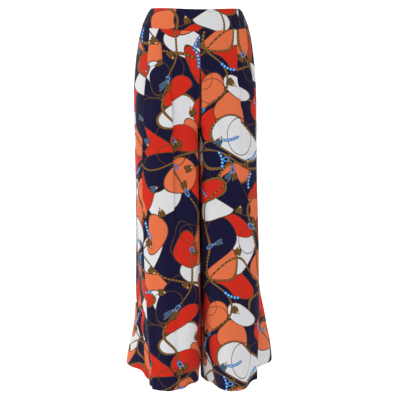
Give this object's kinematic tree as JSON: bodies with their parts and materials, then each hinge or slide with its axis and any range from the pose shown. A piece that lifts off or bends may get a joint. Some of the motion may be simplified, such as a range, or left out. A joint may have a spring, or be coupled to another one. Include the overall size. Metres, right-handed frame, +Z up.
{
  "type": "palazzo pants",
  "caption": "High-waisted wide-leg pants in printed crepe, worn and hollow: shaped waistband, knife pleats on both fronts, concealed back zip and wide open hems.",
  "frame": {"origin": "centre of the waist ring, at mid height of the waistband at the sides, where the wearer's waist holds it", "axes": "+Z up along the garment, +X the wearer's left, -Y the front"},
  "size_m": [0.4277, 0.273, 1.031],
  "materials": {
    "printed_crepe": "soft matte crepe with an all-over print",
    "zip_tape": "woven navy tape",
    "zip_metal": "satin navy-grey enamel"
  },
  "bodies": {
    "garment": {"waistband_front": "printed_crepe", "waistband_back_left": "printed_crepe", "waistband_back_right": "printed_crepe", "front_left": "printed_crepe", "front_right": "printed_crepe", "back_left": "printed_crepe", "back_right": "printed_crepe", "zip_tape": "zip_tape", "zip_slider": "zip_metal"},
    "pull": {"zip_pull": "zip_metal"}
  },
  "joints": [
    {"name": "zip_pull", "type": "hinge", "parent": "garment", "child": "pull", "pos_m": [0, 0.09682, 0.01696], "axis": [1, 0, 0], "range_deg": [0, 165]}
  ]
}
